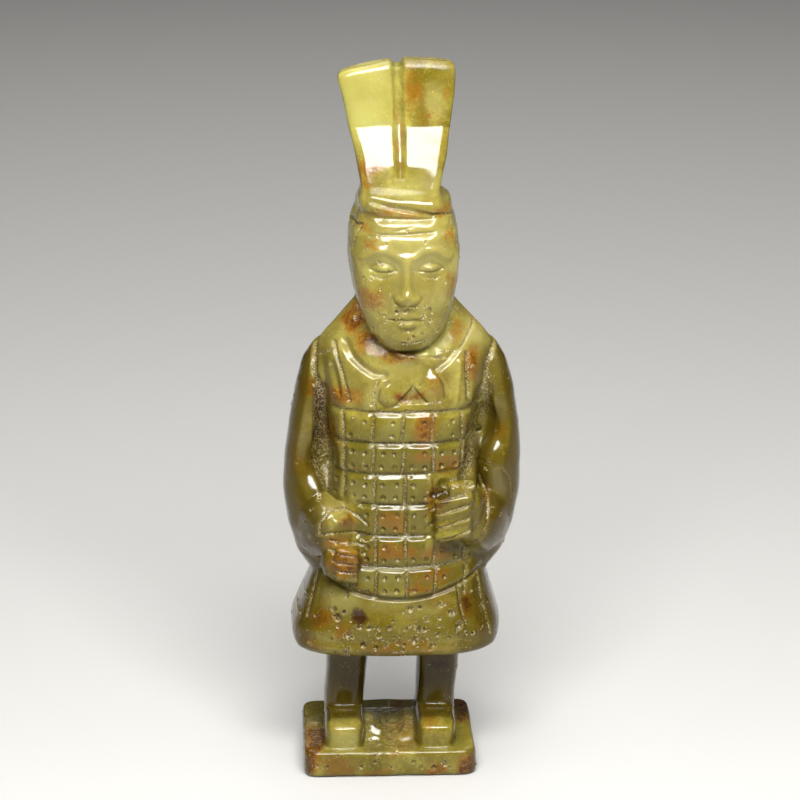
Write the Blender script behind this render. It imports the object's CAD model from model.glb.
# %% [markdown]
# A small warrior carved from one piece of olive-yellow jade and polished by hand. The CAD solid already
# has its pose, its outline and its main carving. This lesson turns that faceted solid into worn, glossy
# stone: it is remeshed and rubbed smooth, the marks of the carver's wheel and drill are pressed into it,
# the face is modelled, and one jade material with its own clouds, stains and unpolished grooves covers
# it.

# %% The shared frame
import math
import random

import bpy
import numpy as np
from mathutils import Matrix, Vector


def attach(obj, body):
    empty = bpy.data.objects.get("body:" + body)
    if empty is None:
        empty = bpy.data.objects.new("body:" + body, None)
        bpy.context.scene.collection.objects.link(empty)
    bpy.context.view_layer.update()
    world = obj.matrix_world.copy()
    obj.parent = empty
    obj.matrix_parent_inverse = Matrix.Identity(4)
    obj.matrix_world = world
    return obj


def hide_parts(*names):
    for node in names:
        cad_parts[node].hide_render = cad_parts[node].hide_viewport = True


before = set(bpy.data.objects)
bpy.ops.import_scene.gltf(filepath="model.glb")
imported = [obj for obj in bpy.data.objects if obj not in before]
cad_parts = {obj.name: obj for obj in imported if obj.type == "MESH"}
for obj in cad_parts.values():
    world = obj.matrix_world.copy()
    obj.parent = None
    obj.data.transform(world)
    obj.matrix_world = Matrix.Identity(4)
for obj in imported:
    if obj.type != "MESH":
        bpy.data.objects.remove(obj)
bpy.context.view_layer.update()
MM = 0.001

# %% [markdown]
# The stone leans a little to one side, most at the shoulders. Every mark below is placed as if the
# figure stood straight, in millimetres: x to the viewer's right, y away from the viewer, z up from the
# ground. This cell holds the sizes that the marks share with the CAD solid.

# %% Sizes shared with the solid
BASE_HEIGHT = 5.0
LEAN_MOST = 3.1
LEAN_SPAN = 150.0
CHEST_LINE = 68.7
APRON_EDGE = 34.6
PLATE_ROWS = 6
PLATE_HEIGHT = (CHEST_LINE - APRON_EDGE) / PLATE_ROWS
PLATE_WIDTH = 5.35
PLATE_SHIFT = -0.8
PLATE_DRIFT = 0.055
WHEEL = 0.9
EYE_LINE = 95.5


def lean(z):
    return LEAN_MOST * np.sin(np.pi * np.maximum(z - BASE_HEIGHT, 0.0) / LEAN_SPAN)


def ease(value):
    """Smooth step: 0 below 0, 1 above 1, a soft curve between."""
    value = np.clip(value, 0.0, 1.0)
    return value * value * (3.0 - 2.0 * value)


def only(piece):
    bpy.ops.object.select_all(action="DESELECT")
    piece.select_set(True)
    bpy.context.view_layer.objects.active = piece


def apply_modifier(piece, kind, **settings):
    only(piece)
    bpy.ops.object.modifier_add(type=kind)
    modifier = piece.modifiers[-1]
    for name, value in settings.items():
        setattr(modifier, name, value)
    bpy.ops.object.modifier_apply(modifier=modifier.name)


# %% [markdown]
# A copy of the solid's mesh is the rough block. Its triangles are loose, so their shared corners are
# merged first. A voxel remesh then turns the facets into one even skin of tiny squares, fine enough to
# hold a drill mark.

# %% The rough block
VOXEL = 0.2


def copy_of_node(node, name):
    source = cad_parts[node]
    piece = source.copy()
    piece.data = source.data.copy()
    piece.name = name
    bpy.context.scene.collection.objects.link(piece)
    only(piece)
    bpy.ops.object.mode_set(mode="EDIT")
    bpy.ops.mesh.select_all(action="SELECT")
    bpy.ops.mesh.remove_doubles(threshold=0.002 * MM)
    bpy.ops.object.mode_set(mode="OBJECT")
    return piece


figure = copy_of_node("warrior_figurine", "jade_warrior")
apply_modifier(figure, "REMESH", mode="VOXEL", voxel_size=VOXEL * MM)
print("rough block:", len(figure.data.vertices), "points")


# %% [markdown]
# To mark the stone, a cell needs its points in millimetres, straightened, with their normals. This small
# class reads them, keeps how far each point sinks or rises and how rough the tool left it, and writes
# them back.

# %% Reading and writing the stone
class Stone:
    def __init__(self, piece):
        self.piece = piece
        mesh = piece.data
        count = len(mesh.vertices)
        flat = np.empty(count * 3, np.float32)
        mesh.vertices.foreach_get("co", flat)
        self.at = flat.reshape(-1, 3).astype(np.float64) / MM
        mesh.vertex_normals.foreach_get("vector", flat)
        self.normal = flat.reshape(-1, 3).astype(np.float64)
        self.z = self.at[:, 2].copy()
        self.y = self.at[:, 1].copy()
        self.x = self.at[:, 0] - lean(self.z)
        self.sunk = np.zeros(count)
        self.raised = np.zeros(count)
        self.grit = np.zeros(count)
        self.cover = np.ones(count)
        self.order = np.argsort(self.z)
        self.levels = self.z[self.order]

    def write_back(self):
        move = (self.raised - self.sunk)[:, None]
        moved = (self.at + self.normal * move) * MM
        self.piece.data.vertices.foreach_set("co", moved.astype(np.float32).ravel())
        self.piece.data.update()


def clouds(points, size, seed):
    """Smooth noise from 0 to 1 whose lumps are about size millimetres across."""
    grid = points / size + seed * 7.31
    cell = np.floor(grid).astype(np.int64)
    part = ease(grid - cell)
    total = np.zeros(len(points))
    for corner in range(8):
        step = np.array([corner & 1, (corner >> 1) & 1, (corner >> 2) & 1])
        key = cell + step
        mixed = key[:, 0] * 73856093 ^ key[:, 1] * 19349663 ^ key[:, 2] * 83492791
        mixed = (mixed ^ (mixed >> 13)) * 1274126177
        value = ((mixed ^ (mixed >> 16)) & 65535) / 65535.0
        weight = np.prod(np.where(step == 1, part, 1.0 - part), axis=1)
        total += weight * value
    return total


# %% [markdown]
# Rubbing rounds broad forms more than crisp ones. The points are sorted into a vertex group: full
# strength on sleeves, skirt and cap, little on the fists, the thin crest and the apron's edge. One light
# pass of smoothing melts the facets everywhere, and a long pass follows the group. A cloud texture then
# adds the slight unevenness of a surface that was shaped by eye.

# %% Rubbing the block smooth
RUB_ALL = 18
RUB_BROAD = 80
APRON_SAG = 4.8
APRON_HALF = 15.3
stone = Stone(figure)


def within(value, low, high, soft):
    return ease((value - low) / soft + 0.5) * ease((high - value) / soft + 0.5)


def hands():
    share = within(stone.x, -25.0, -8.2, 1.2) * within(stone.z, 38.5, 53.0, 1.2)
    share += within(stone.x, 4.0, 25.0, 0.8) * within(stone.z, 43.5, 57.5, 1.2)
    return np.clip(share * ease(-stone.y / 3.0), 0.0, 1.0)


broad = np.ones(len(stone.x))
front = ease(-stone.y / 3.0)
forward = ease((-stone.y - 9.5) / 1.5)
fist_left = within(stone.x, -15.5, -5.5, 1.0) * within(stone.z, 38.0, 47.5, 1.5) * forward
fist_right = within(stone.x, 3.5, 15.5, 1.0) * within(stone.z, 43.0, 57.0, 1.5) * forward
apron_sag = APRON_SAG * np.clip(stone.x / APRON_HALF, -1, 1) ** 2
apron_edge = within(np.abs(stone.z - APRON_EDGE - apron_sag), -1.0, 1.1, 0.8)
nose = within(stone.x, -3.0, 3.0, 1.0) * within(stone.z, 87.5, 97.0, 2.0) * front
crest = ease((stone.z - 106.0) / 2.0) * (1.0 - 0.4 * ease((stone.z - 126.5) / 1.5))
feet = within(stone.z, -1.0, 12.5, 2.0)
crisp = ((fist_left, 0.9), (fist_right, 0.9), (apron_edge, 0.85), (nose, 0.6), (crest, 0.9), (feet, 0.35))
for kept, share in crisp:
    broad *= 1.0 - share * np.clip(kept, 0.0, 1.0)
group = figure.vertex_groups.new(name="broad")
level = np.round(broad * 8).astype(int)
for step in range(1, 9):
    group.add(np.nonzero(level == step)[0].tolist(), step / 8, "REPLACE")
apply_modifier(figure, "SMOOTH", factor=0.5, iterations=RUB_ALL)
apply_modifier(figure, "SMOOTH", factor=0.5, iterations=RUB_BROAD, vertex_group="broad")
uneven = bpy.data.textures.new("hand_shaped", "CLOUDS")
uneven.noise_scale = 7.0 * MM
uneven.noise_depth = 1
apply_modifier(figure, "DISPLACE", texture=uneven, texture_coords="LOCAL", strength=0.35 * MM, mid_level=0.5)
print("rubbed in", RUB_ALL + RUB_BROAD, "passes")


# %% [markdown]
# The carver's tools leave three kinds of mark. A thin wheel cuts a line. A tube drill sinks a small
# round pit. A soft grain that breaks out leaves a ragged pit. Each is made the same way: the points near
# the mark sink along their normals by a smooth profile. A bump is the same move outwards, for forms that
# stand up from the stone.

# %% Tools that mark the stone
stone = Stone(figure)
VIEWS = {"front": (0, 1, -1), "back": (0, 1, 1), "right": (1, 0, 1), "left": (1, 0, -1)}


def around(path, margin, view):
    """The points near a path that face a view, with their two coordinates as seen from there."""
    across_axis, depth_axis, sign = VIEWS[view]
    zs = [z for a, z in path]
    start, end = np.searchsorted(stone.levels, [min(zs) - margin, max(zs) + margin])
    level = stone.order[start:end]
    straight = (stone.x, stone.y)
    across = straight[across_axis][level]
    near = (across > min(a for a, z in path) - margin) & (across < max(a for a, z in path) + margin)
    near &= (stone.normal[level, depth_axis] * sign > -0.12) & (straight[depth_axis][level] * sign > -1.0)
    picked = level[near]
    return picked, across[near], stone.z[picked]


def distance_to_path(a, z, path):
    best = np.full(a.shape, 1e9)
    for (a0, z0), (a1, z1) in zip(path, path[1:]):
        da, dz = a1 - a0, z1 - z0
        share = np.clip(((a - a0) * da + (z - z0) * dz) / (da * da + dz * dz), 0.0, 1.0)
        best = np.minimum(best, np.hypot(a - a0 - share * da, z - z0 - share * dz))
    return best


def roughened(picked, amount):
    stone.grit[picked] = np.maximum(stone.grit[picked], amount * stone.cover[picked])


def wheel_line(path, width=WHEEL, depth=0.35, view="front", grit=0.5):
    """A cut along points given as [across, z]."""
    picked, a, z = around(path, width, view)
    away = distance_to_path(a, z, path)
    sink = depth * ease(1.0 - away / (width * 0.62)) * stone.cover[picked]
    stone.sunk[picked] = np.maximum(stone.sunk[picked], sink)
    roughened(picked, grit * ease(1.35 - away / (width * 0.5)))


def plate_edge(path, depth=0.45, lip=1.25, view="front", grit=0.8):
    """A level cut with a steep upper wall and, below it, the next plate's rounded upper edge."""
    picked, a, z = around(path, lip + 0.6, view)
    under = np.interp(a, [p[0] for p in path], [p[1] for p in path]) - z
    wall = ease((under + 0.42) / 0.34)
    share = np.clip(under / lip, 0.0, 1.0)
    rounded = np.where(share < 0.5, 1.0 - share * 4.0 / 3.0, (1.0 - share) ** 2 * 4.0 / 3.0)
    sink = depth * wall * rounded * stone.cover[picked]
    stone.sunk[picked] = np.maximum(stone.sunk[picked], sink)
    roughened(picked, grit * ease(1.0 - np.abs(under + 0.18) / 0.45))


def drill_pit(a, z, radius=0.42, depth=0.3, view="front", rim=0.0, grit=0.3):
    picked, pa, pz = around([(a, z)], radius * 2.4, view)
    away = np.hypot(pa - a, pz - z) / radius
    stone.sunk[picked] += depth * ease((1.25 - away) / 0.9) * stone.cover[picked]
    stone.raised[picked] += rim * ease(1.0 - np.abs(away - 1.45) / 0.5) * stone.cover[picked]
    roughened(picked, grit * ease(1.0 - np.abs(away - 1.0) / 0.5))


def bump(a, z, half_a, half_z, height, turn=0.0, view="front"):
    """A soft oval rise, or a hollow where height is below zero."""
    picked, pa, pz = around([(a, z)], max(half_a, half_z) * 1.1, view)
    c, s = math.cos(math.radians(turn)), math.sin(math.radians(turn))
    u = ((pa - a) * c + (pz - z) * s) / half_a
    v = ((pz - z) * c - (pa - a) * s) / half_z
    stone.raised[picked] += height * ease(1.0 - np.hypot(u, v))


def ridge(path, width, height, view="front"):
    picked, a, z = around(path, width, view)
    away = distance_to_path(a, z, path)
    stone.raised[picked] += height * ease(1.0 - away / width)


def both(path):
    return [path, [(-a, z) for a, z in path]]


print("stone ready:", len(stone.x), "points")

# %% [markdown]
# The armour is six rows of square plates. One wheel cut runs right across above each row, then short
# upright cuts part the plates and drift a little to the right going down, and up to four small drill
# pits mark the lacing of each plate. The cuts must stay off the sleeves, so a mask first finds the
# points that lie on the trunk.

# %% Armour plates
TRUNK_Z = [34, 41, 47, 57, 67, 74, 79]
TRUNK_HALF = [15.8, 15.0, 14.2, 13.8, 14.3, 15.4, 15.8]
TRUNK_FRONT = [13.1, 12.4, 11.8, 11.3, 10.9, 10.1, 8.4]
TRUNK_SQUARE = [2.6, 2.6, 2.65, 2.7, 2.6, 2.35, 2.25]
marks = random.Random(11)


def off_trunk(x, y, z):
    half = np.interp(z, TRUNK_Z, TRUNK_HALF)
    deep = np.interp(z, TRUNK_Z, TRUNK_FRONT)
    square = np.interp(z, TRUNK_Z, TRUNK_SQUARE)
    ring = (np.abs(x / half) ** square + np.abs((y + 0.2) / deep) ** square) ** (1.0 / square)
    return np.abs(ring - 1.0) * deep


stone.cover = ease(1.7 - off_trunk(stone.x, stone.y, stone.z) / 0.9)
stone.cover *= (1.0 - hands()) * ease((13.0 - np.abs(stone.x)) / 0.8)
for row in range(PLATE_ROWS):
    level = CHEST_LINE - row * PLATE_HEIGHT
    sag = 0.055 * row
    line = [(a, level + sag * (a / 9.0) ** 2 + marks.uniform(-0.12, 0.12)) for a in range(-14, 15, 2)]
    plate_edge(line, depth=marks.uniform(0.42, 0.52))
    plate_edge([(a, level + sag * (a / 9.0) ** 2) for a in range(-15, 16, 2)], depth=0.36, view="back")
    for column in range(-2, 3):
        fall = PLATE_HEIGHT * (row + 0.5)
        across = column * PLATE_WIDTH + PLATE_SHIFT + PLATE_DRIFT * fall + marks.uniform(-0.15, 0.15)
        slant = marks.uniform(-0.2, 0.2)
        low = level - PLATE_HEIGHT + 0.1
        wheel_line([(across - slant, level - 0.1), (across + slant, low)], 0.8, marks.uniform(0.26, 0.4))
    for column in (-1, 0, 1):
        across = column * PLATE_WIDTH + marks.uniform(-0.1, 0.1)
        wheel_line([(across, level), (across, level - PLATE_HEIGHT)], 0.8, 0.3, "back")
    for column in range(-3, 3):
        middle = (column + 0.5) * PLATE_WIDTH + PLATE_SHIFT + PLATE_DRIFT * PLATE_HEIGHT * (row + 0.5) - 0.1
        for side in (-1.15, 1.15):
            for lift in (-1.45, 0.95):
                if marks.random() < (0.3 if row in (0, 5) or abs(middle) > 9 else 0.08):
                    continue
                drill_pit(middle + side + marks.uniform(-0.2, 0.2), level - PLATE_HEIGHT * 0.5 + lift
                          + marks.uniform(-0.15, 0.15), marks.uniform(0.36, 0.5), marks.uniform(0.28, 0.5),
                          rim=0.04, grit=0.42)
stone.cover = np.ones(len(stone.x))
hem = [(a, APRON_EDGE + APRON_SAG * (a / APRON_HALF) ** 2) for a in np.arange(-13.5, 13.6, 1.5)]
for view in ("front", "back"):
    wheel_line([(a, z - 0.45) for a, z in hem], 0.9, 0.45, view, 0.2)
    ridge([(a, z + 0.75) for a, z in hem], 0.9, 0.12, view)
print("armour:", int((stone.sunk > 0.15).sum()), "points pressed in")

# %% [markdown]
# Above the armour the robe crosses in broad lapels and a scarf is tied under the chin. The knot is two
# soft loops over a small three-sided hollow. Wheel cuts of different width draw the lapels, the neckline
# and the line where each sleeve is set in.

# %% Lapels, knot and sleeves' seams
wheel_line([(-10.6, 80.4), (-9.6, 78.3), (-7.9, 76.8), (-5.8, 75.7), (-4.0, 75.5)], 1.9, 0.5, grit=0.15)
wheel_line([(-4.9, 75.2), (-5.8, 72.4), (-5.7, 69.6)], 0.9, 0.3)
wheel_line([(-12.7, 80.2), (-12.2, 77.7), (-11.5, 75.6), (-10.8, 73.1), (-10.2, 70.6)], 0.95, 0.42)
wheel_line([(-15.9, 77.7), (-14.5, 78.1), (-13.1, 79.2)], 0.5, 0.22)
wheel_line([(-15.9, 80.0), (-16.2, 77.4), (-16.3, 75.0), (-15.6, 73.2), (-15.0, 70.5)], 1.2, 0.55)
wheel_line([(12.3, 83.0), (11.2, 81.6), (10.0, 79.9), (8.7, 78.6)], 0.55, 0.28)
wheel_line([(8.6, 79.2), (7.0, 77.5), (5.2, 76.4)], 1.7, 0.42, grit=0.15)
wheel_line([(10.8, 78.6), (10.8, 76.5), (11.0, 73.6), (11.1, 70.6)], 1.0, 0.42)
ridge([(9.5, 77.0), (9.2, 74.0), (8.8, 70.4)], 0.9, 0.22)
wheel_line([(15.8, 78.8), (14.7, 76.5), (14.4, 73.7), (14.0, 70.4)], 1.3, 0.55)
bump(-3.4, 71.9, 2.3, 2.7, 0.5, 12)
bump(4.5, 73.3, 2.9, 3.6, 0.5, -20)
wheel_line([(-3.2, 74.3), (-4.9, 73.0), (-5.3, 70.9), (-3.8, 69.5), (-1.6, 70.1)], 0.7, 0.24, grit=0.15)
wheel_line([(5.6, 75.4), (6.6, 73.6), (6.9, 71.2)], 0.7, 0.26, grit=0.2)
wheel_line([(3.8, 76.6), (2.8, 75.0), (2.2, 73.6)], 0.7, 0.2, grit=0.15)
ridge([(-1.4, 78.9), (1.0, 78.3), (3.4, 78.9)], 1.5, 0.65)
picked, a, z = around([(-5.4, 80.4)], 2.6, "front")
roughened(picked, 0.35 * ease(1.6 - np.hypot(a + 5.4, z - 80.4) / 1.6))
picked, a, z = around([(-1.4, 69.8), (3.6, 75.0)], 0.4, "front")
rise = z - 70.4
pinch = 0.08 * rise * (3.5 - rise)
left_wall = a + 1.8 - 0.83 * rise - pinch
right_wall = 4.0 - a - 0.83 * rise - pinch
inside = np.minimum.reduce([rise / 0.7, left_wall / 0.7, right_wall / 0.7])
hollow = 0.8 * ease(inside + 0.4) * np.clip(1.0 - 0.12 * rise, 0.0, 1.0)
stone.sunk[picked] = np.maximum(stone.sunk[picked], hollow)
roughened(picked, 0.45 * ease(inside) * ease(1.5 - inside))
wheel_line([(-15.3, 71.5), (-15.3, 67.0), (-14.9, 63.0), (-14.5, 58.0), (-13.9, 53.6)], 3.0, 0.8, grit=0.42)
wheel_line([(14.2, 71.0), (13.4, 67.5), (12.6, 64.0), (11.9, 60.0), (11.3, 56.5)], 3.8, 0.85, grit=0.42)
print("chest carved")

# %% [markdown]
# Fingers are parted by short cuts that rise a little outwards. A cuff is a rolled edge, so it is a ridge
# with a cut outside it. The raised fist was drilled to hold a staff, which leaves a deep hollow above
# the forefinger. Broad hollows and swellings then shape the sleeves above the cuffs.

# %% Cuffs and fists
wheel_line([(-14.9, 46.6), (-14.6, 48.5), (-13.2, 50.2), (-10.6, 50.6), (-8.2, 49.6), (-6.4, 48.0)], 0.6, 0.3)
ridge([(-12.2, 48.6), (-10.4, 49.1), (-8.4, 48.3)], 0.8, 0.28)
wheel_line([(-15.2, 46.5), (-13.1, 47.0), (-10.4, 46.7), (-7.0, 46.2)], 0.6, 0.32)
for line in ([(-13.2, 45.6), (-9.8, 44.8), (-6.8, 44.3)], [(-13.0, 43.9), (-9.4, 43.2), (-6.8, 42.8)],
             [(-12.4, 42.1), (-9.2, 41.6), (-7.2, 41.3)], [(-11.8, 40.5), (-9.6, 40.1), (-7.8, 40.0)]):
    wheel_line(line, 0.6, 0.34)
for line in ([(4.8, 53.2), (7.4, 53.9), (10.2, 54.6)], [(4.8, 50.7), (7.4, 51.4), (10.9, 52.5)],
             [(4.8, 48.0), (7.6, 48.8), (11.2, 50.3)], [(5.6, 45.7), (8.6, 46.5), (11.6, 48.0)]):
    wheel_line(line, 0.65, 0.36)
wheel_line([(13.2, 57.6), (15.4, 57.8), (17.6, 56.6), (19.2, 54.4), (19.6, 51.0)], 0.5, 0.14, grit=0.3)
wheel_line([(14.0, 55.4), (14.9, 52.4), (14.9, 48.6), (13.8, 45.4), (11.6, 43.6)], 0.7, 0.3)
bump(6.9, 55.2, 1.9, 1.5, -0.7)
bump(-15.8, 59.0, 4.6, 6.0, -1.5)
bump(-15.2, 50.8, 5.0, 6.0, 1.4)
bump(-11.0, 48.6, 3.4, 3.4, 0.5)
bump(15.6, 65.0, 4.2, 6.0, -1.3)
bump(15.6, 57.2, 4.4, 6.0, 1.3)
print("hands carved")

# %% [markdown]
# The skirt opens in panels, drawn by single cuts, and ends in a thick hem, which is a broad ridge.
# Sleeves get a few slack folds where the elbow bends, and the back repeats the front's seams in a
# plainer way, because nobody sees the back of such a figure first.

# %% Skirt, sleeves and back
wheel_line([(-15.0, 37.6), (-15.5, 35.5), (-16.5, 30.0)], 0.5, 0.26)
ridge([(-14.4, 37.2), (-14.9, 35.0), (-15.8, 30.2)], 0.6, 0.14)
wheel_line([(10.5, 37.0), (10.5, 35.0), (11.2, 32.0), (12.1, 29.4)], 0.55, 0.3)
ridge([(9.8, 36.4), (9.8, 34.8), (10.5, 32.0), (11.3, 29.8)], 0.55, 0.14)
wheel_line([(13.8, 38.6), (14.6, 34.3), (15.7, 30.8), (17.0, 26.4)], 0.6, 0.28)
for view, lift in (("front", 0.7), ("back", 0.3)):
    ridge([(-17.0, 24.2), (17.0, 24.2)], 2.2, lift, view)
for side in (-1, 1):
    wheel_line([(side * 13.6, 37.5), (side * 15.2, 32.0), (side * 16.8, 26.6)], 0.7, 0.3, "back")
    view = "right" if side > 0 else "left"
    wheel_line([(2.4, 58.6), (4.4, 56.4), (6.6, 55.6)], 1.2, 0.3, view, 0.2)
    wheel_line([(2.2, 53.6), (4.2, 51.4), (6.2, 50.6)], 1.3, 0.34, view, 0.2)
    wheel_line([(2.4, 48.6), (4.0, 46.8), (5.6, 46.4)], 1.1, 0.26, view, 0.2)
    wheel_line([(side * 13.9, 77.0), (side * 13.4, 73.0), (side * 13.6, 68.0)], 1.0, 0.4, "back")
wheel_line([(-7.6, 83.2), (-4.0, 81.0), (0.0, 80.4), (4.0, 81.0), (7.6, 83.2)], 1.0, 0.35, "back")
for a in np.linspace(-7.2, 7.2, 11):
    wheel_line([(a * 0.94, 103.4 - 0.05 * a * a), (a, 96.0), (a * 0.9, 87.0)], 0.55, 0.2, "back")
wheel_line([(-9.4, 101.0), (-5.0, 104.2), (0.0, 105.2), (5.0, 104.2), (9.4, 101.0)], 0.9, 0.35, "back")
print("skirt, sleeves and back carved")

# %% [markdown]
# The cap ends over the forehead in two stepped bands with slanting cuts. The face is calm, with the eyes
# halfway between chin and crown and about an eye's width apart, and the nose and mouth in the lower
# half. Hollows and rises come first, then the fine lines of lids and lips.

# %% Cap and face
ridge([(-7.5, 106.8), (0.0, 106.3), (7.5, 105.6)], 2.7, 0.65)
bump(-5.2, 115.4, 4.6, 8.0, 0.15)
bump(5.4, 116.4, 4.6, 8.0, 0.15)
top_edge = ease((stone.z + 0.08 * np.abs(stone.x) - 128.4) / 0.8)
stone.grit = np.maximum(stone.grit, 0.3 * top_edge)
wheel_line([(-5.4, 106.7), (-2.5, 105.9), (1.0, 105.3), (4.8, 104.4)], 1.2, 0.42, grit=0.15)
stone.cover = within(stone.x, -5.0, 5.0, 2.4)
plate_edge([(-5.0, 104.1), (0.0, 104.0), (5.0, 103.8)], 0.45, 2.3, grit=0.12)
plate_edge([(-5.0, 101.3), (0.0, 101.4), (5.0, 101.6)], 0.42, 2.0, grit=0.12)
stone.cover = np.ones(len(stone.x))
wheel_line([(-6.2, 100.9), (-3.0, 101.6), (-0.9, 102.1), (4.6, 103.5)], 0.6, 0.16, grit=0.12)
wheel_line([(-9.6, 101.8), (-8.6, 102.5), (-7.6, 102.7)], 0.7, 0.5)
wheel_line([(5.4, 104.7), (6.6, 104.3), (8.0, 104.0)], 0.6, 0.4)
wheel_line([(-7.5, 102.6), (-8.6, 101.0), (-9.3, 98.4)], 0.55, 0.28)
wheel_line([(7.9, 103.4), (8.7, 101.0), (9.3, 98.0)], 0.55, 0.28)

for side in (-1, 1):
    bump(side * 4.1, EYE_LINE + 0.1, 3.9, 2.7, -0.62)
    ridge([(side * 1.5, 97.4), (side * 3.3, 98.6), (side * 5.6, 98.5), (side * 7.4, 97.0)], 1.2, 0.34)
    bump(side * 4.05, EYE_LINE - 0.15, 2.5, 1.45, 0.62)
    bump(side * 5.3, 90.4, 3.6, 3.6, 0.4)
    bump(side * 1.3, 89.9, 1.2, 1.15, 0.55)
    bump(side * 1.0, 86.9, 1.5, 0.85, 0.34)
    bump(side * 2.6, 85.9, 0.8, 0.8, -0.2)
ridge([(0.0, 97.2), (0.0, 93.5), (0.0, 90.6)], 1.5, 0.35)
bump(0.0, 90.5, 1.7, 2.0, 0.5)
bump(0.0, 85.2, 2.2, 1.05, 0.42)
bump(0.0, 83.9, 2.2, 0.9, -0.22)
bump(0.0, 82.3, 3.0, 1.8, 0.34)
for line in both([(1.9, 95.1), (2.9, 96.1), (4.3, 96.5), (5.6, 96.1), (6.5, 95.2)]):
    wheel_line(line, 0.45, 0.2, grit=0.12)
for line in both([(1.9, 95.1), (3.0, 94.75), (4.4, 94.65), (5.6, 94.8), (6.5, 95.2)]):
    wheel_line(line, 0.5, 0.26, grit=0.12)
for line in both([(2.6, 94.1), (4.3, 93.6), (5.8, 94.0)]):
    wheel_line(line, 0.5, 0.1, grit=0.12)
for line in both([(0.2, 88.8), (1.2, 88.75), (2.2, 89.2), (2.5, 90.2)]):
    wheel_line(line, 0.6, 0.3, grit=0.12)
for line in both([(2.6, 89.2), (3.5, 87.6), (3.8, 86.4)]):
    wheel_line(line, 0.8, 0.1, grit=0.12)
wheel_line([(-2.6, 85.95), (-1.1, 86.2), (0.0, 85.98), (1.1, 86.2), (2.6, 85.95)], 0.5, 0.32, grit=0.12)
wheel_line([(0.0, 88.6), (0.0, 87.6)], 0.7, 0.14, grit=0.12)
print("face and cap carved")

# %% [markdown]
# Jade of this kind carries pits where soft grains fell out: many low on the front of the skirt, some on
# the chin and along the base, a few anywhere. The larger ones are placed, the rest are scattered by a
# seeded random number. Between the shoes the stone stays coarse, with a patch of bright crystals.

# %% Pits and worn places
grains = random.Random(29)
SKIRT_PITS = [(-11.5, 32.1), (-10.1, 31.9), (-11.1, 30.8), (-6.8, 29.5), (-5.3, 29.0), (-9.2, 27.8),
              (-3.3, 27.7), (-8.5, 25.6), (-6.0, 25.8), (-1.7, 28.9), (7.3, 33.2), (9.5, 31.5),
              (7.4, 30.5), (2.1, 32.5), (4.7, 30.4), (1.2, 28.9), (3.5, 28.7), (4.8, 28.6), (7.0, 27.7),
              (10.9, 29.0), (13.4, 27.3), (10.4, 25.7), (6.2, 25.8), (-4.0, 25.4), (0.1, 26.3),
              (2.7, 26.8), (3.7, 32.8), (-9.2, 24.9)]
BASE_PITS = [(-5.1, 2.1), (-2.8, 3.0), (1.6, 1.4), (8.0, 1.6), (10.7, 1.6), (9.6, 2.6), (-11.5, 2.0),
             (-13.5, 2.6), (0.0, 1.8), (4.1, 2.9), (5.4, 1.7), (13.5, 2.7)]


def broken_pit(a, z, radius, depth, view="front", grit=0.55):
    """A ragged pit: two or three overlapping drill pits with a slight rim."""
    for _ in range(grains.choice((1, 2, 2, 3))):
        drill_pit(a + grains.uniform(-0.5, 0.5) * radius, z + grains.uniform(-0.5, 0.5) * radius,
                  radius * grains.uniform(0.6, 1.0), depth * grains.uniform(0.5, 1.0), view, 0.05, grit)


for a, z in SKIRT_PITS:
    broken_pit(a, z, grains.uniform(0.4, 0.75), grains.uniform(0.25, 0.45))
for a, z in BASE_PITS:
    broken_pit(a, z, grains.uniform(0.3, 0.6), grains.uniform(0.25, 0.45))
for _ in range(70):
    broken_pit(grains.gauss(1.0, 7.5), grains.uniform(24.2, 30.5), grains.uniform(0.18, 0.34),
               grains.uniform(0.12, 0.3))
for _ in range(36):
    broken_pit(grains.gauss(0.8, 3.8), grains.uniform(81.0, 89.0), grains.uniform(0.2, 0.42),
               grains.uniform(0.12, 0.28), grit=0.8)
for _ in range(34):
    broken_pit(grains.gauss(-6.2, 1.8), grains.uniform(83.0, 97.0), grains.uniform(0.18, 0.36),
               grains.uniform(0.1, 0.22), grit=0.7)
for view in ("front", "back", "left", "right"):
    for _ in range(190 if view == "front" else 80):
        broken_pit(grains.uniform(-18, 18), grains.uniform(1, 108), grains.uniform(0.15, 0.34),
                   grains.uniform(0.08, 0.22), view, 0.7)
bump(-7.4, 31.2, 1.5, 1.5, -0.35)
rough = within(stone.z, 4.5, 9.5, 1.0) * within(stone.x, -5.0, 5.0, 1.0) * within(stone.y, -13.5, 8.0, 1.0)
chipped = within(stone.z, 4.0, 6.2, 0.6) * within(stone.x, -16.0, -12.2, 0.5)
rough += chipped * within(stone.y, -10.0, 5.0, 2.0)
straight = np.column_stack([stone.x, stone.y, stone.z])
stone.sunk += 0.5 * np.clip(rough, 0, 1) * np.abs(clouds(straight, 1.1, 3) - 0.5)
ragged = 2.6 * (clouds(straight, 1.3, 8) - 0.5)
crystals = ease(1.5 + ragged - np.linalg.norm((straight - (-2.6, -6.7, 6.3)) / (1.2, 1.9, 1.2), axis=1))
stone.grit = np.maximum(stone.grit, np.maximum(0.3 * np.clip(rough, 0, 1), crystals))
print("pits and worn places pressed in")

# %% [markdown]
# The points are moved, and a record of how deep each one lies is kept for the material as an attribute.
# The mesh is then thinned to under 200,000 triangles, which drops points where the stone is plain.

# %% Thinning the mesh
stone.write_back()
noted = figure.data.attributes.new("grit", "FLOAT", "POINT")
noted.data.foreach_set("value", stone.grit.astype(np.float32))
TRIANGLES = 196000
figure.data.calc_loop_triangles()
share = TRIANGLES / len(figure.data.loop_triangles)
figure.vertex_groups.clear()
apply_modifier(figure, "DECIMATE", ratio=min(share, 1.0))
figure.data.calc_loop_triangles()
print("thinned from a share of", round(share, 3), "to", len(figure.data.loop_triangles), "triangles")

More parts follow.
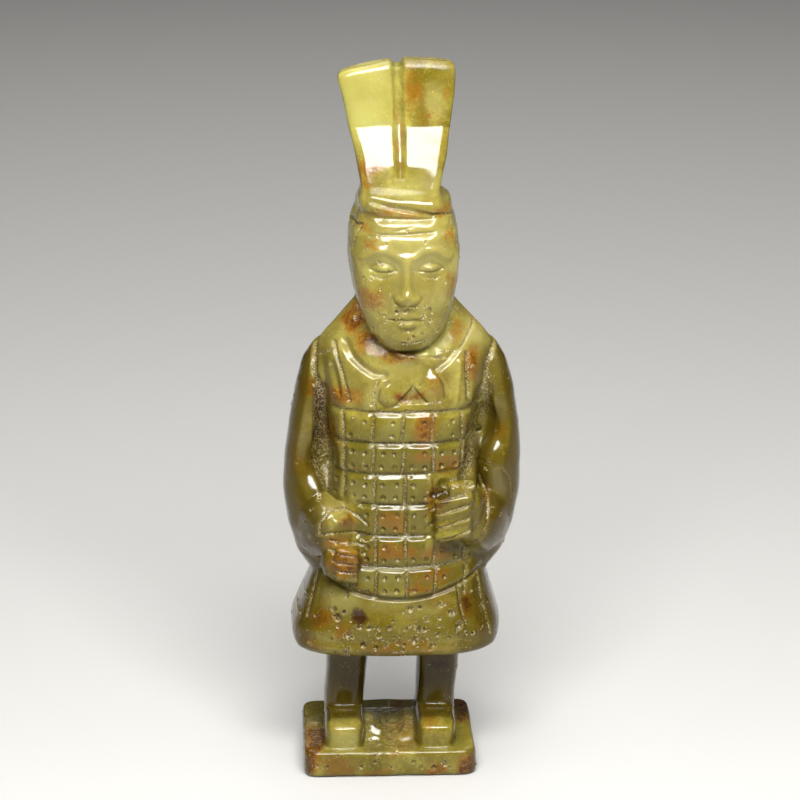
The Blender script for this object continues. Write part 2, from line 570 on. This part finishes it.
# %% [markdown]
# Colour in jade isn't paint. Iron creeps in along cracks and turns the stone russet, pale clouds were
# there from the start, and thin places glow. Each spot is x, z, half width, half height and strength.
# Slow cloud noise makes its outline wander, and the finer noise in the material breaks it up. The back,
# which isn't known, gets a few more by seeded chance.

# %% Where the stone changes colour
RUSSET = [(0.1, 120.0, 0.6, 8.0, 0.5), (2.6, 125.5, 1.6, 4.2, 0.8), (9.0, 124.3, 0.7, 1.6, 0.6),
          (-5.2, 112.1, 2.4, 1.4, 0.8), (-6.3, 109.7, 1.4, 1.6, 0.5), (5.4, 120.4, 2.1, 1.1, 0.35),
          (-1.2, 104.8, 4.9, 0.9, 0.45), (6.4, 104.8, 1.9, 1.0, 0.5), (-6.2, 99.8, 1.4, 0.9, 0.45),
          (-7.1, 102.5, 1.2, 0.9, 0.45), (8.4, 100.1, 1.0, 1.7, 0.5), (-6.6, 89.5, 2.1, 2.1, 0.6),
          (-8.7, 85.2, 1.4, 2.8, 0.8), (-6.4, 81.7, 2.1, 1.2, 0.9), (7.8, 92.1, 0.9, 2.5, 0.5),
          (-9.6, 83.3, 1.4, 1.4, 0.95), (-7.1, 80.3, 2.1, 1.4, 0.6), (-2.5, 79.0, 3.9, 1.1, 0.6),
          (9.0, 82.3, 1.1, 1.8, 0.5), (11.6, 76.2, 1.4, 2.7, 0.75), (-11.2, 71.1, 3.5, 1.6, 0.8),
          (-0.8, 71.3, 1.2, 0.9, 0.95), (2.0, 71.4, 1.4, 0.5, 0.7), (5.4, 73.5, 2.5, 2.5, 0.35),
          (-18.2, 72.1, 2.1, 1.6, 0.95), (-14.0, 63.2, 1.6, 3.1, 0.7), (3.7, 65.5, 1.6, 2.7, 0.85),
          (3.3, 60.6, 2.0, 1.1, 0.6), (8.0, 59.1, 2.3, 1.8, 0.5), (-2.1, 48.9, 3.0, 1.8, 0.65),
          (-0.8, 43.0, 4.3, 1.3, 0.7), (6.4, 42.8, 2.5, 1.1, 0.5), (6.3, 38.2, 3.2, 1.4, 0.6),
          (3.5, 35.6, 2.2, 0.7, 0.7), (-20.8, 60.2, 1.3, 2.3, 0.8), (-18.3, 58.2, 2.2, 2.2, 0.45),
          (-18.6, 48.7, 1.3, 2.2, 0.8), (-10.1, 48.4, 1.4, 1.1, 0.75), (-10.4, 41.7, 3.4, 2.3, 0.8),
          (-12.1, 44.7, 2.9, 1.1, 0.6), (17.1, 63.3, 1.4, 2.0, 0.7), (14.9, 52.2, 0.9, 1.1, 0.85),
          (16.6, 49.5, 1.4, 1.1, 0.75), (17.6, 42.8, 1.8, 1.4, 0.6), (20.0, 61.3, 0.7, 7.2, 0.5),
          (5.4, 52.3, 1.4, 3.6, 0.45), (-17.8, 30.6, 1.1, 3.7, 0.6), (-13.8, 29.9, 1.8, 1.4, 0.95),
          (-9.9, 28.3, 1.6, 1.4, 0.6), (12.2, 32.5, 1.3, 1.8, 0.95), (14.6, 29.3, 0.9, 2.4, 0.75),
          (0.5, 25.3, 8.1, 1.1, 0.45), (17.4, 24.4, 1.8, 1.8, 0.6), (-15.7, 26.1, 2.5, 1.3, 0.5),
          (7.2, 33.9, 2.9, 2.5, 0.3), (11.1, 15.9, 2.6, 2.6, 0.6), (-8.2, 17.6, 3.3, 1.5, 0.5),
          (2.2, 6.0, 2.6, 2.2, 0.4), (7.2, 10.0, 1.3, 1.3, 0.6), (-13.7, 5.0, 1.7, 1.9, 0.9),
          (-14.1, 2.6, 1.6, 1.8, 0.95), (-9.2, 2.3, 2.9, 1.5, 0.5), (8.2, 1.2, 1.7, 1.1, 0.8),
          (14.0, 1.5, 1.7, 1.7, 0.98), (-2.2, 1.0, 2.6, 0.9, 0.5)]
DARK = [(-8.6, 40.6, 2.2, 1.6, 0.6), (-15.5, 69.2, 1.2, 3.4, 1), (-14.9, 63.5, 0.9, 3.9, 0.6),
        (11.3, 62.4, 0.9, 4.6, 0.5), (-7.4, 31.3, 1.4, 1.6, 1), (6.2, 54.2, 1.4, 1.1, 0.8),
        (-6.0, 81.1, 1.4, 0.7, 0.7), (-0.8, 79.3, 3.5, 0.7, 0.5), (12.2, 32.7, 0.9, 1.3, 0.6),
        (14.0, 1.1, 1.1, 1.1, 0.5), (-13.1, 5.0, 1.5, 0.9, 0.6), (8.7, 18.2, 1.8, 1.1, 0.7)]
PALE = [(-9.0, 86.0, 2.1, 1.6, 0.6), (12.3, 81.6, 2.7, 2.0, 0.8), (0.5, 99.5, 7.0, 6.0, 0.75),
        (1.5, 90.0, 5.5, 7.0, 0.4), (-1.9, 76.7, 4.2, 1.8, 0.55), (8.6, 75.0, 1.4, 3.5, 0.45),
        (0.6, 97.4, 4.2, 2.1, 0.4), (5.8, 91.0, 1.7, 3.8, 0.6), (6.5, 123.0, 2.1, 2.5, 0.7),
        (5.1, 109.9, 2.1, 1.4, 0.4), (-19.2, 64.8, 1.6, 3.6, 0.85), (-12.8, 51.2, 2.9, 2.5, 0.35),
        (17.4, 54.1, 2.2, 2.5, 0.9), (-6.8, 53.9, 2.5, 1.6, 0.5), (-2.0, 53.7, 2.1, 1.6, 0.5),
        (-4.7, 38.9, 3.9, 1.6, 0.6), (-10.2, 34.0, 3.1, 2.2, 0.9), (-1.4, 33.8, 4.3, 1.3, 0.6),
        (4.8, 32.2, 2.0, 1.3, 0.5), (-6.1, 71.7, 1.4, 1.8, 0.6), (-8.2, 8.0, 2.7, 1.8, 0.35)]
AMBER = [(-6.0, 122.8, 4.2, 5.3, 1), (8.8, 95.0, 1.1, 1.9, 0.9), (4.6, 80.3, 2.5, 1.1, 0.8),
         (-5.3, 94.8, 2.1, 1.2, 0.4), (1.1, 108.6, 3.1, 1.2, 0.5), (-8.1, 6.6, 2.6, 1.8, 0.4),
         (-2.3, 65.7, 2.1, 2.1, 0.4)]
stone = Stone(figure)
straight = np.column_stack([stone.x, stone.y, stone.z])
warp = np.column_stack([clouds(straight, 3.2, s) - 0.5 for s in (1, 2, 3)]) * 2.0
warped = straight + warp


def spots(places, front=True):
    """How strongly each point lies in one of the spots, from 0 to 1."""
    value = np.zeros(len(stone.x))
    facing = ease(0.5 + (-stone.y if front else stone.y) / 6.0)
    for x, z, half_x, half_z, strength in places:
        ring = np.hypot((warped[:, 0] - x) / half_x, (warped[:, 2] - z) / half_z)
        value = np.maximum(value, strength * ease((1.75 - ring) / 1.25) * facing)
    return value


def keep_as(name, value):
    layer = figure.data.attributes.new(name, "FLOAT", "POINT")
    layer.data.foreach_set("value", value.astype(np.float32))


chance = random.Random(5)
unseen = [(chance.uniform(-17, 17), chance.uniform(2, 126), chance.uniform(1, 3.5), chance.uniform(1, 4),
           chance.uniform(0.4, 0.9)) for _ in range(34)]
keep_as("russet", np.maximum(spots(RUSSET), spots(unseen, front=False)))
dark_behind = [(x, z, a * 0.5, b * 0.5, s) for x, z, a, b, s in unseen[:9]]
keep_as("dark", np.maximum(spots(DARK), spots(dark_behind, False)))
upper = 0.3 * ease((stone.z - 68.0) / 8.0) * ease((112.0 - stone.z) / 6.0)
pale = np.maximum(spots(PALE), spots([(-x, 130 - z, a, b, s) for x, z, a, b, s in unseen[:20]], False))
keep_as("pale", np.maximum(pale, upper))
legs = within(stone.z, 9.0, 24.5, 4.0) * ease((8.0 - np.abs(stone.y)) / 2.0 + 1.0)
flank = ease((np.abs(stone.normal[:, 0]) - 0.3) / 0.5) * ease((84.0 - stone.z) / 8.0)
lower = 0.35 * ease((76.0 - stone.z) / 24.0) * ease((stone.z - 10.0) / 4.0)
lower += 0.35 * ease((stone.x - 7.0) / 6.0) * within(stone.z, 22.0, 40.0, 4.0)
lower += 0.3 * ease((6.0 - stone.z) / 1.5) + 0.5 * ease(stone.y / 3.0) * ease((7.0 - stone.z) / 2.0)
lower += 0.2 * within(stone.z, 23.0, 36.0, 4.0) + 0.3 * within(stone.z, 107.0, 113.0, 3.0)
lower += 0.15 * ease((stone.x - 1.0) / 3.0) * ease((stone.z - 112.0) / 4.0)
sleeves = 0.75 * ease((np.abs(stone.x) - 12.5) / 3.0) * ease((82.0 - stone.z) / 6.0)
sleeves *= ease((stone.z - 36.0) / 4.0)
keep_as("deep", np.clip(0.8 * flank + 1.5 * legs + lower + sleeves, 0.0, 1.35))
plates = within(stone.x, -10.5, 10.5, 4.0) * within(stone.z, 37.0, 66.0, 5.0) * (1.0 - hands())
keep_as("moss", 0.58 * plates * (1.0 + 0.5 * ease(stone.x / 8.0) * ease((60.0 - stone.z) / 8.0)))
keep_as("amber", np.maximum(spots(AMBER), 0.7 * ease((stone.z - 110.0) / 9.0) * ease((4.0 - stone.x) / 8.0)))
print("colour spots kept on", len(stone.x), "points")

# %% [markdown]
# The jade is one procedural material. Light enters it and comes out tinted, so it has subsurface
# scattering, and a hard polish gives small sharp reflections. Noise makes the clouds of olive and
# yellow, the kept spots steer russet, dark, pale and amber places, and the tool marks stay pale, rough
# and sparkling because no polish reaches into them.

# %% Jade
jade = bpy.data.materials.new("jade")
jade.use_nodes = True
tree = jade.node_tree
shader = tree.nodes["Principled BSDF"]


def put(socket, value):
    if isinstance(value, bpy.types.NodeSocket):
        tree.links.new(value, socket)
    else:
        socket.default_value = value


def attribute(name):
    made = tree.nodes.new("ShaderNodeAttribute")
    made.attribute_name = name
    return made.outputs["Fac"]


def sums(kind, first, second, clamp=False):
    made = tree.nodes.new("ShaderNodeMath")
    made.operation = kind
    made.use_clamp = clamp
    put(made.inputs[0], first)
    put(made.inputs[1], second)
    return made.outputs[0]


def noise(size_mm, detail=4.0, roughness=0.55, distortion=0.0):
    made = tree.nodes.new("ShaderNodeTexNoise")
    put(made.inputs["Vector"], place)
    made.inputs["Scale"].default_value = 1.0 / (size_mm * MM)
    made.inputs["Detail"].default_value = detail
    made.inputs["Roughness"].default_value = roughness
    made.inputs["Distortion"].default_value = distortion
    return made.outputs["Fac"]


def grains_of(size_mm):
    made = tree.nodes.new("ShaderNodeTexVoronoi")
    put(made.inputs["Vector"], place)
    made.inputs["Scale"].default_value = 1.0 / (size_mm * MM)
    return made.outputs["Distance"], made.outputs["Color"]


def window(value, low, high):
    made = tree.nodes.new("ShaderNodeMapRange")
    made.interpolation_type = "SMOOTHSTEP"
    put(made.inputs["Value"], value)
    made.inputs["From Min"].default_value = low
    made.inputs["From Max"].default_value = high
    return made.outputs["Result"]


def blend(share, first, second):
    made = tree.nodes.new("ShaderNodeMix")
    made.data_type = "RGBA"
    put(made.inputs["Factor"], share)
    put(made.inputs[6], first)
    put(made.inputs[7], second)
    return made.outputs[2]


place = tree.nodes.new("ShaderNodeTexCoord").outputs["Object"]
OLIVE_DEEP = (0.115, 0.084, 0.003, 1)
OLIVE = (0.19, 0.15, 0.015, 1)
YELLOW_GREEN = (0.3, 0.255, 0.045, 1)
MOSS = (0.09, 0.078, 0.008, 1)
GREY_GREEN = (0.33, 0.292, 0.1, 1)
AMBER_LIGHT = (0.38, 0.36, 0.105, 1)
UMBER = (0.055, 0.036, 0.002, 1)
ORANGE = (0.22, 0.08, 0.004, 1)
BROWN = (0.075, 0.022, 0.003, 1)
MAROON = (0.035, 0.012, 0.003, 1)
CHALK = (0.66, 0.57, 0.31, 1)
EARTH = (0.06, 0.035, 0.012, 1)
GOLD = (0.6, 0.45, 0.16, 1)
CRYSTAL = (0.75, 0.73, 0.64, 1)

body = blend(window(noise(9.0, 5.0, 0.6, 0.8), 0.3, 0.66), OLIVE_DEEP, OLIVE)
body = blend(window(noise(5.0, 4.0, 0.55, 0.5), 0.44, 0.76), body, YELLOW_GREEN)
body = blend(sums("MULTIPLY", window(noise(0.9, 4.0, 0.75), 0.42, 0.66), 0.45), body, MOSS)
body = blend(sums("MULTIPLY", window(noise(0.6, 3.0, 0.75), 0.54, 0.68), 0.3), body, GREY_GREEN)
body = blend(sums("MULTIPLY", attribute("pale"), 0.75), body, GREY_GREEN)
body = blend(sums("MULTIPLY", attribute("amber"), 0.72), body, AMBER_LIGHT)
body = blend(attribute("moss"), body, MOSS)
mottle = noise(1.1, 5.0, 0.7, 0.3)
wander = window(noise(6.5, 6.0, 0.68, 1.6), 0.6, 0.72)
iron = sums("MULTIPLY", wander, 0.45)
iron = sums("MAXIMUM", iron, attribute("russet"))
speck = noise(0.45, 3.0, 0.7)
grain = sums("SUBTRACT", sums("ADD", sums("MULTIPLY", mottle, 1.5), sums("MULTIPLY", speck, 0.9)), 1.2)
iron = sums("ADD", iron, sums("MULTIPLY", grain, window(iron, 0.0, 0.3)))
body = blend(sums("MULTIPLY", window(iron, 0.08, 0.85), 0.85), body, ORANGE)
body = blend(sums("MULTIPLY", window(iron, 0.6, 1.15), 0.9), body, BROWN)
body = blend(sums("MULTIPLY", attribute("deep"), 0.7), body, UMBER)
shade = attribute("dark")
shade = sums("ADD", shade, sums("MULTIPLY", grain, window(shade, 0.0, 0.3)))
body = blend(sums("MULTIPLY", window(shade, 0.15, 1.0), 0.95), body, MAROON)
grit = attribute("grit")
distance, cell = grains_of(0.2)
split = tree.nodes.new("ShaderNodeSeparateColor")
put(split.inputs[0], cell)
chalky = window(split.outputs[0], 0.6, 0.7)
fleck = sums("MULTIPLY", window(split.outputs[1], 0.94, 0.99), window(noise(3.0, 4.0, 0.7), 0.5, 0.62))
body = blend(sums("MULTIPLY", fleck, 0.3), body, GOLD)
body = blend(sums("MULTIPLY", grit, 0.45), body, EARTH)
body = blend(sums("MULTIPLY", sums("MULTIPLY", window(grit, 0.15, 0.9), 0.8), chalky), body, CHALK)
body = blend(window(grit, 0.82, 0.95), body, CRYSTAL)
put(shader.inputs["Base Color"], body)

polish = sums("ADD", 0.1, sums("MULTIPLY", window(mottle, 0.4, 0.7), 0.07))
put(shader.inputs["Roughness"], sums("ADD", polish, sums("MULTIPLY", grit, 0.3), clamp=True))
shader.inputs["IOR"].default_value = 1.62
shader.inputs["Specular IOR Level"].default_value = 0.24
shader.inputs["Subsurface Weight"].default_value = 0.65
shader.inputs["Subsurface Radius"].default_value = (1.0, 0.82, 0.25)
shader.inputs["Subsurface Scale"].default_value = 2.4 * MM


def bump_node(height, reach_mm, strength, under=None):
    made = tree.nodes.new("ShaderNodeBump")
    put(made.inputs["Height"], height)
    put(made.inputs["Strength"], strength)
    made.inputs["Distance"].default_value = reach_mm * MM
    if under is not None:
        put(made.inputs["Normal"], under)
    return made.outputs["Normal"]


skin = bump_node(noise(1.3, 3.0, 0.6), 0.05, 0.35)
worn = sums("ADD", 0.12, sums("MULTIPLY", window(iron, 0.3, 0.8), 0.35))
skin = bump_node(noise(0.35, 2.0, 0.6), 0.03, worn, skin)
skin = bump_node(distance, 0.12, sums("MULTIPLY", grit, 0.9), skin)
put(shader.inputs["Normal"], skin)

figure.data.materials.clear()
figure.data.materials.append(jade)
only(figure)
bpy.ops.object.shade_smooth()
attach(figure, "root")
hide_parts("warrior_figurine")
print("jade laid on", figure.name)

# %% [markdown]
# A plain pale floor and soft studio light. The key light is a wide soft box in front and above, which is
# what puts the bright patches on the crest, the brow, the chest and the toes. A box overhead and one
# behind lift the shadows, and the two side fills are faint, so the stone keeps its depth. The camera has
# a long lens a little above the figure.

# %% Floor, light and camera
bpy.ops.mesh.primitive_plane_add(size=3.0, location=(0, 0, 0))
floor = bpy.context.object
floor.name = "floor"
paper = bpy.data.materials.new("pale_paper")
paper.use_nodes = True
paper.node_tree.nodes["Principled BSDF"].inputs["Base Color"].default_value = (0.44, 0.43, 0.41, 1)
paper.node_tree.nodes["Principled BSDF"].inputs["Roughness"].default_value = 0.85
floor.data.materials.append(paper)

world = bpy.data.worlds.new("studio")
bpy.context.scene.world = world
world.use_nodes = True
world.node_tree.nodes["Background"].inputs["Color"].default_value = (0.78, 0.8, 0.82, 1)
world.node_tree.nodes["Background"].inputs["Strength"].default_value = 0.07
AIM = Vector((2.3 * MM, 0, 67.9 * MM))
CAMERA_AZIMUTH = -2.5
CAMERA_ELEVATION = 17.0
CAMERA_DISTANCE = 0.585
CAMERA_LENS = 146.2


def towards(azimuth, elevation):
    a, e = math.radians(azimuth), math.radians(elevation)
    return Vector((math.sin(a) * math.cos(e), -math.cos(a) * math.cos(e), math.sin(e)))


def soft_box(name, azimuth, elevation, distance, size, power):
    bpy.ops.object.light_add(type="AREA")
    lamp = bpy.context.object
    lamp.name = name
    way = towards(azimuth, elevation)
    lamp.location = AIM + way * distance
    lamp.rotation_euler = way.to_track_quat("Z", "Y").to_euler()
    lamp.data.shape = "RECTANGLE"
    lamp.data.size, lamp.data.size_y = size
    lamp.data.energy = power


soft_box("key", 2, 46, 0.42, (0.34, 0.115), 4.2)
soft_box("overhead", 0, 82, 0.8, (0.45, 0.4), 5.0)
soft_box("back_fill", 180, 50, 0.9, (0.6, 0.5), 2.2)
soft_box("left_fill", -80, 30, 0.9, (0.3, 0.5), 0.3)
soft_box("right_fill", 80, 25, 0.9, (0.3, 0.5), 0.3)

bpy.ops.object.camera_add()
camera = bpy.context.object
camera_way = towards(CAMERA_AZIMUTH, CAMERA_ELEVATION)
camera.location = AIM + camera_way * CAMERA_DISTANCE
camera.rotation_euler = camera_way.to_track_quat("Z", "Y").to_euler()
camera.data.sensor_width = 36.0
camera.data.lens = CAMERA_LENS
camera.data.clip_start = 0.01
bpy.context.scene.camera = camera
bpy.context.scene.view_settings.view_transform = "Standard"
